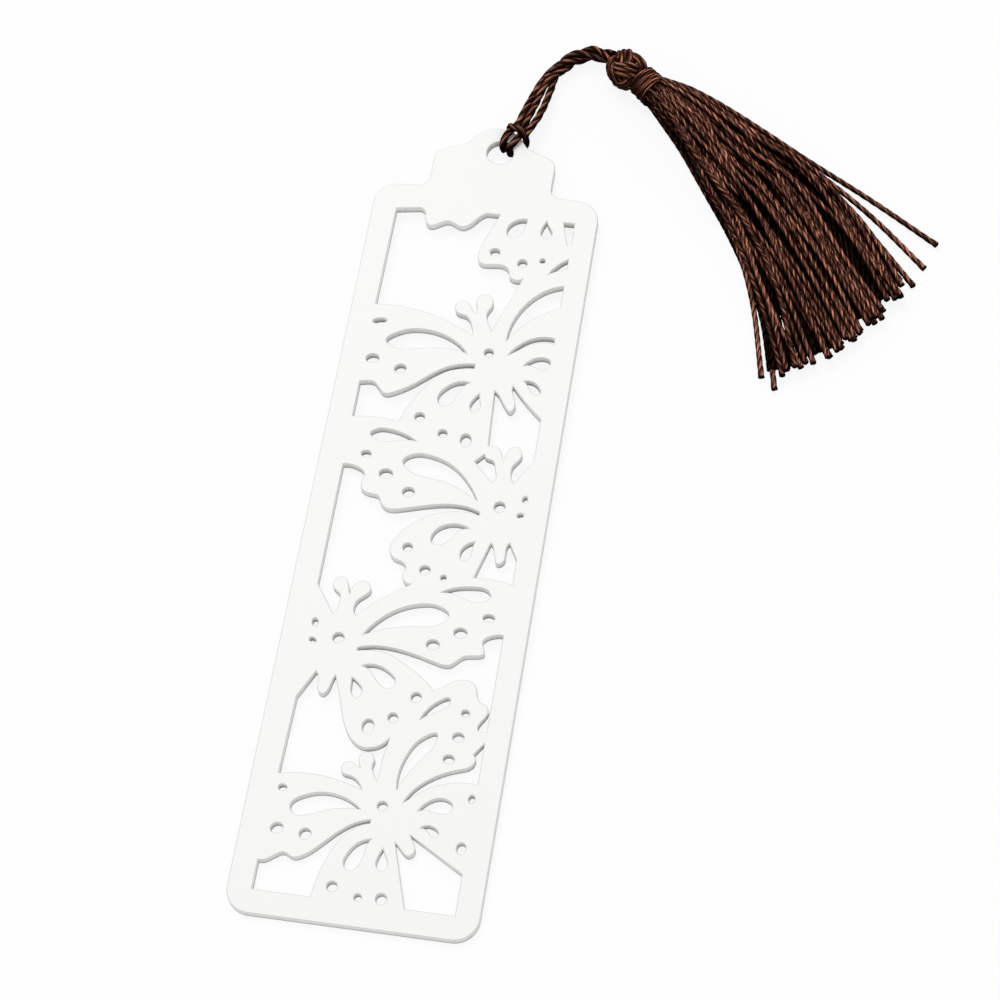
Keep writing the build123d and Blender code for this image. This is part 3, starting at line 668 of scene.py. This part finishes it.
def round_tassel(turn):
    """The way out from the tassel's middle line, at an angle round it."""
    return SIDEWAYS * math.cos(turn) + UP * math.sin(turn)


def knot_line(look, offset):
    """One closed cord of the ball knot, woven over and under, a little to one side of its band."""

    def band(t):
        """The way from the ball's centre to the middle of the band, which closes after a full turn of t."""
        height = KNOT_BEND * math.sin(look.bights * t)
        return HEADING * math.sin(height) + round_tassel(look.leads * t) * math.cos(height)

    points = []
    nudge = 0.01
    for i in range(KNOT_POINTS):
        t = 2 * math.pi * i / KNOT_POINTS
        here, ahead = band(t), band(t + nudge)
        side = here.cross(ahead - here).normalized()
        weave = -math.sin(look.bights * (look.leads - 1) * t)
        way = (here * KNOT_RADIUS + side * offset).normalized()
        points.append(BALL + way * (KNOT_RADIUS + KNOT_WEAVE * weave))
    return points


def binding_line(turns):
    """Control points of the thread wound round the neck."""
    points = []
    last = turns * BINDING_POINTS
    for number in range(last + 1):
        turn = 2 * math.pi * number / BINDING_POINTS
        along = BINDING_START + (BINDING_END - BINDING_START) * number / last
        waver = BINDING_WAVER * math.sin(turn * BINDING_PACE)
        radius = BINDING_RADIUS + BINDING_GROWTH * number / last + waver
        middle = BALL + HEADING * along + SIDEWAYS * NECK_ASIDE
        points.append(middle + round_tassel(turn) * radius)
    return points


class BOOKMARK_OT_knot(bpy.types.Operator):
    """Weave the ball knot, and wind the binding round the neck"""

    bl_idname = "bookmark.knot"
    bl_label = "Ball knot and binding"

    def execute(self, context):
        look = context.scene.bookmark_knot
        thread_look = context.scene.bookmark_thread
        middle = (look.strands - 1) / 2
        lines = [knot_line(look, (number - middle) * KNOT_PITCH) for number in range(look.strands)]
        cord = satin_thread("knot_cord", thread_look, shade=1.6, glint=1.8, flank=0.6)
        knot = spun("woven_knot", lines, cord, look.cord / MM, thread_look.turn / MM, step=0.2, sides=14,
                    seed=11, closed=True, core=(KNOT_CORE, BALL))
        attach(knot, "knot")
        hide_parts("ball_knot")

        thread = satin_thread("binding_thread_brown", thread_look, shade=1.5, glint=1.3, flank=0.8)
        binding = spun("binding_thread", [binding_line(look.turns)], thread, look.thread / MM, BINDING_TWIST,
                       step=0.16, sides=12, seed=5)
        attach(binding, "tassel")
        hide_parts("neck_wrap")
        return {"FINISHED"}


# The fan of the fringe: share of its length, its middle and width across the tassel, how thick the pile
# is, how high its lowest strands lie above the table, and the strands' radius there
FAN = [
    (-0.07, 0.65, 3.2, 3.2, 1.4, 0.72),
    (0.0, 1.65, 5.9, 4.2, 0.7, 0.85),
    (0.06, 2.05, 7.7, 4.4, 0.45, 1.0),
    (0.17, 2.4, 10.7, 4.1, 0.3, 1.0),
    (0.34, 2.0, 15.6, 3.7, 0.1, 1.0),
    (0.5, 1.65, 19.8, 3.2, 0.0, 1.0),
    (0.75, -1.6, 24.2, 2.5, 0.0, 1.0),
    (1.0, -5.6, 26.4, 1.9, 0.0, 1.0),
]
FRINGE_LENGTH = 57.0
FRINGE_ROWS = 5
FRINGE_COLUMNS = len(FRINGE_NODES) // FRINGE_ROWS
# The lowest rows lie close: their number, how much they stray against the loose rows above them, and how
# much shorter they are cut
CLOSE_ROWS = 2
CLOSE_LIE = 0.1
CLOSE_CUT = 2.0
# A loose strand drifts across the fan by a share of the fan's width. Past the gathered share of its length
# it also wanders to the side at each stop, and less at its end
DRIFT = 0.03
GATHERED = 0.06
WANDER = 1.5
END_WANDER = 0.4
# It lies up to this much of a row above or below its own, but not higher than this share of the pile
ROW_LIE = 0.6
PILE_TOP = 1.1
# The cut ends lie on a shallow arc: its place across the tassel, its top and its curve. Each is cut short
# or long by chance
ARC_MIDDLE = -6
ARC_TOP = 1.0
ARC_CURVE = 0.01
CUT_SHORT, CUT_LONG = -1.0, 0.6
# A strand opens at its cut end: the length of the opened end, its rise and its radius
FLARE_LENGTH = 0.6
FLARE_RISE = 0.12
FLARE_RADIUS = 1.22
# At the end the leftmost strands stand apart: their share of the fan and the gap beside them
PARTING = 0.13
PARTING_GAP = 2.0
# The stray strands beside the fan: places across the tassel at half, three quarters and all of their
# length, and that length
STRAYS = [
    (-7.1, -13.0, -22.8, 53.0),
    (-6.8, -12.2, -22.7, 56.2),
    (10.4, 10.6, 8.7, 56.3),
    (11.4, 13.0, 12.5, 54.9),
    (12.0, 15.2, 17.3, 52.8),
]
STRAYS_LEFT = 2
STRAYS_LEAVE = 5  # they follow the fan's edge over this many of its stops
# The folded tops in the neck: their number, thickness, turn from one to the next and the bundle's radius,
# then places along the tassel and the share of that radius there
TOPS = 22
TOP_THICKNESS = 0.95
TOP_TURN = 2.4
NECK_RADIUS = 2.05
NECK = [(2.9, 0.8), (4.0, 1.0), (6.0, 1.0), (7.6, 1.0), (8.8, 1.0)]


def fringe_line(spread, row, thickness, lie):
    """Route and thickness of one strand of the fan, spread from 0 at its left edge to 1 at its right.

    The lowest rows lie close and are cut shorter; those above drift across each other."""
    close = row < CLOSE_ROWS
    loose = CLOSE_LIE if close else 1.0
    drift = loose * lie.gauss(0, DRIFT)
    layer = min(max((row + loose * lie.uniform(-ROW_LIE, ROW_LIE)) / (FRINGE_ROWS - 1), 0), PILE_TOP)
    points, radii = [], []
    for share, middle, width, pile, lift, radius in FAN:
        across = middle + (min(max(spread + max(share, 0) * drift, 0), 1) - 0.5) * width
        if share > GATHERED:
            across += (WANDER if share < 1 else END_WANDER) * loose * lie.uniform(-1, 1)
            across = min(max(across, middle - width / 2), middle + width / 2)
        distance = FRINGE_START + share * FRINGE_LENGTH
        if share == 1.0:
            across -= PARTING_GAP if spread < PARTING else 0
            arc = ARC_TOP - ARC_CURVE * (across - ARC_MIDDLE) ** 2
            distance += arc + lie.uniform(CUT_SHORT, CUT_LONG) - (CLOSE_CUT if close else 0)
        points.append(laid(distance, across, thickness / 2 + lift + layer * pile))
        radii.append(radius)
    return flared(points, radii)


def stray_line(places, thickness, height):
    """Route and thickness of one stray strand, which leaves the fan's edge at a height in its pile."""
    half, later, last, length = places
    side = 0.5 if last > 0 else -0.5
    points, radii = [], []
    for share, middle, width, pile, lift, radius in FAN[:STRAYS_LEAVE]:
        points.append(laid(FRINGE_START + share * FRINGE_LENGTH, middle + side * width,
                           thickness / 2 + lift + height * pile))
        radii.append(radius)
    for share, across, lift in ((0.5, half, 1.2), (0.75, later, 0.3), (1.0, last, 0.0)):
        points.append(laid(FRINGE_START + share * length, across, thickness / 2 + lift))
        radii.append(1.0)
    return flared(points, radii)


def laid(distance, across, height):
    """A point of the fringe, seen from the ball's middle, at a height above the table."""
    place = BALL + HEADING * distance + SIDEWAYS * across
    return Vector((place.x, place.y, ground(place.y) + height))


def flared(points, radii):
    """Open a strand a little at its cut end."""
    tip = (points[-1] - points[-2]).normalized()
    return [*points, points[-1] + tip * FLARE_LENGTH + UP * FLARE_RISE], [*radii, FLARE_RADIUS]


def frame_strands(columns, rows):
    """Names of the frame's own strands in some columns and rows of its fan."""
    return [FRINGE_NODES[column * FRINGE_ROWS + row] for row in rows for column in columns]


class BOOKMARK_OT_fringe(bpy.types.Operator):
    """Hang the fringe of twisted strands from the neck, and fill the neck with their folded tops"""

    bl_idname = "bookmark.fringe"
    bl_label = "Fringe"

    def execute(self, context):
        look = context.scene.bookmark_fringe
        thread_look = context.scene.bookmark_thread
        thickness, turn = look.thickness / MM, look.turn / MM
        thread = satin_thread("fringe_brown", thread_look, shade=1.16, glint=1.25, flank=1.0, groove_shade=0.7)
        # Painted shade: the close rows under the loose strands are painted nearly black
        shaded = satin_thread("fringe_brown_shaded", thread_look, shade=0.08)
        lie = random.Random(look.seed)
        under = [fringe_line((rank + row / 2) / (look.close - 0.5), row, thickness, lie)
                 for rank in range(look.close) for row in range(CLOSE_ROWS)]
        loose_rows = range(CLOSE_ROWS, FRINGE_ROWS)
        over = [fringe_line((rank + lie.uniform(0.1, 0.9)) / look.loose, loose_rows[rank % len(loose_rows)],
                            thickness, lie)
                for rank in range(look.loose)]
        strays = [stray_line(places, thickness, number / len(STRAYS)) for number, places in enumerate(STRAYS)]
        third = look.loose // 3
        heart = third + third // 2
        # Each piece's strands, and the frame's strands that it stands for
        groups = {
            "fringe_under": (under, frame_strands(range(FRINGE_COLUMNS), range(CLOSE_ROWS))),
            "fringe_left": (strays[:STRAYS_LEFT] + over[:third], frame_strands((0, 1), loose_rows)),
            "fringe_middle": (over[third:heart] + over[heart + 1:2 * third],
                              frame_strands((2, 3), loose_rows[:-1]) + frame_strands((3,), loose_rows[-1:])),
            "fringe_right": (over[2 * third:] + strays[STRAYS_LEFT:], frame_strands((4, 5), loose_rows)),
            "fringe_heart": (over[heart:heart + 1], frame_strands((2,), loose_rows[-1:])),
        }
        for number, (name, (made, stood_for)) in enumerate(groups.items()):
            material, step, sides = (thread, 0.25, 15) if number else (shaded, 0.45, 9)
            lines, radii = zip(*made)
            piece = spun(name, lines, material, thickness, turn, step, sides, seed=20 + number, radii=radii,
                         both_ways=True)
            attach(piece, "tassel")
            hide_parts(*stood_for)
        path = [point * MM for point in read_line("heart_line", over[heart][0])]

        tops = []
        for number in range(TOPS):
            out = round_tassel(TOP_TURN * number) * (NECK_RADIUS * math.sqrt((number + 0.5) / TOPS))
            tops.append([BALL + HEADING * along + SIDEWAYS * NECK_ASIDE + out * swell
                         for along, swell in NECK])
        bundle = spun("neck_bundle", tops, thread, TOP_THICKNESS, turn, step=0.4, sides=10, seed=40)
        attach(bundle, "tassel")
        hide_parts("neck_core")
        return {"FINISHED"}


# The floor: half its width in metres, and how far it lies under the lowest pieces, in millimetres
FLOOR_HALF = 2.0
FLOOR_GAP = 0.03
# The lamp, in metres: its width, its place and what it points at
LAMP_SIZE = 0.6
LAMP_PLACE = (-0.4, 0.6, 1.25)
LAMP_TARGET = Vector((0, 0.02, 0))
# The camera: azimuth, elevation and roll in degrees, its lens, and its target and distance in millimetres
CAMERA_ANGLES = (15.46, 62.30, -7.24)
CAMERA_LENS = 96.58
CAMERA_TARGET = Vector((11.39, 1.755, 0.0))
CAMERA_DISTANCE = 446.78


def shown(tree):
    """1 for the rays by which a picture shows a surface, 0 for those by which it lights others."""
    straight, mirrored, through = (
        tree.node("ShaderNodeLightPath", out=name)
        for name in ("Is Camera Ray", "Is Glossy Ray", "Is Transmission Ray"))
    return tree.math("MINIMUM", straight + mirrored + through, 1.0)


class BOOKMARK_OT_stage(bpy.types.Operator):
    """Set the floor, the light and the camera"""

    bl_idname = "bookmark.stage"
    bl_label = "Floor, light and camera"

    def execute(self, context):
        look = context.scene.bookmark_stage
        scene = context.scene
        scene.view_settings.view_transform = "Standard"
        corners = [(x * FLOOR_HALF, y * FLOOR_HALF, (ground(y * FLOOR_HALF / MM) - FLOOR_GAP) * MM)
                   for x, y in ((-1, -1), (1, -1), (1, 1), (-1, 1))]
        mesh = bpy.data.meshes.new("floor")
        mesh.from_pydata(corners, [], [(0, 1, 2, 3)])
        mesh.materials.append(self.floor_material())
        floor = link_mesh("floor", mesh)

        self.white_sky(scene, look.sky)
        light = bpy.data.lights.new("soft_lamp", "AREA")
        light.shape = "DISK"
        light.size = LAMP_SIZE
        light.energy = look.lamp
        lamp = bpy.data.objects.new("soft_lamp", light)
        lamp.location = LAMP_PLACE
        lamp.rotation_euler = (LAMP_TARGET - lamp.location).to_track_quat("-Z", "Y").to_euler()
        scene.collection.objects.link(lamp)

        self.camera(scene)
        return {"FINISHED"}

    @staticmethod
    def floor_material():
        """A pale floor that a camera sees as nearly white, with the shadows on it."""
        material, tree, shader = new_material("pale_floor", Roughness=1.0, Specular_IOR_Level=0.0)
        place = tree.node("ShaderNodeTexCoord", out="Object")
        cloud = tree.node("ShaderNodeTexNoise", None, {"Vector": place, "Scale": 6.0})
        seen = shown(tree)
        glow_share = 0.88  # of what a picture shows of the floor
        pale = tree.mix(cloud, (0.94, 0.94, 0.94, 1), (0.95, 0.95, 0.95, 1))
        plug(shader, "Base Color", tree.mix(seen, (0.85, 0.85, 0.85, 1), pale))
        glow = tree.node("ShaderNodeEmission", None, {"Color": (1, 1, 1, 1), "Strength": 1.0})
        surface = Socket(tree.tree, shader.outputs[0])
        both = tree.node("ShaderNodeMixShader", None, {0: seen * glow_share, 1: surface, 2: glow})
        plug(tree.tree.nodes["Material Output"], "Surface", both)
        return material

    @staticmethod
    def white_sky(scene, strength):
        """An even white light from all round, which a camera sees as white."""
        world = bpy.data.worlds.new("white_sky")
        world.use_nodes = True
        scene.world = world
        back = world.node_tree.nodes["Background"]
        back.inputs["Color"].default_value = (1, 1, 1, 1)
        plug(back, "Strength", strength + shown(Socket(world.node_tree)) * (1.0 - strength))

    @staticmethod
    def camera(scene):
        """The camera at the picture's viewing angle."""
        data = bpy.data.cameras.new("camera")
        data.sensor_fit = "HORIZONTAL"
        data.sensor_width = 36.0
        data.lens = CAMERA_LENS
        data.clip_start = 0.01
        camera = bpy.data.objects.new("camera", data)
        azimuth, elevation, roll = (math.radians(angle) for angle in CAMERA_ANGLES)
        turn = Matrix.Rotation(azimuth, 4, "Z") @ Matrix.Rotation(math.pi / 2 - elevation, 4, "X")
        place = (CAMERA_TARGET + turn.to_3x3() @ UP * CAMERA_DISTANCE) * MM
        camera.matrix_world = Matrix.Translation(place) @ turn @ Matrix.Rotation(roll, 4, "Z")
        scene.collection.objects.link(camera)
        scene.camera = camera


LOOKS = {
    "bookmark_plate": PlateLook, "bookmark_thread": ThreadLook, "bookmark_knot": KnotLook,
    "bookmark_fringe": FringeLook, "bookmark_stage": StageLook}
OPERATORS = (BOOKMARK_OT_plate, BOOKMARK_OT_knot, BOOKMARK_OT_fringe, BOOKMARK_OT_cord, BOOKMARK_OT_stage)


class BOOKMARK_PT_sidebar(bpy.types.Panel):
    """The bookmark's sizes and steps"""

    bl_label = "Bookmark"
    bl_idname = "BOOKMARK_PT_sidebar"
    bl_space_type = "VIEW_3D"
    bl_region_type = "UI"
    bl_category = "Bookmark"

    def draw(self, context):
        for operator in OPERATORS:
            self.layout.operator(operator.bl_idname)
        for name, look in LOOKS.items():
            box = self.layout.box()
            for field in look.__annotations__:
                box.prop(getattr(context.scene, name), field)


CLASSES = (*LOOKS.values(), *OPERATORS, BOOKMARK_PT_sidebar)


def register():
    """Make the settings, the steps and the panel known."""
    for made in CLASSES:
        bpy.utils.register_class(made)
    for name, look in LOOKS.items():
        setattr(bpy.types.Scene, name, bpy.props.PointerProperty(type=look))


def unregister():
    """Take them away again."""
    for name in LOOKS:
        delattr(bpy.types.Scene, name)
    for made in reversed(CLASSES):
        bpy.utils.unregister_class(made)


def main():
    """Dress the bookmark step by step."""
    register()
    bpy.ops.bookmark.plate()
    bpy.ops.bookmark.knot()
    bpy.ops.bookmark.fringe()
    bpy.ops.bookmark.cord()
    bpy.ops.bookmark.stage()


if __name__ == "__main__":
    main()
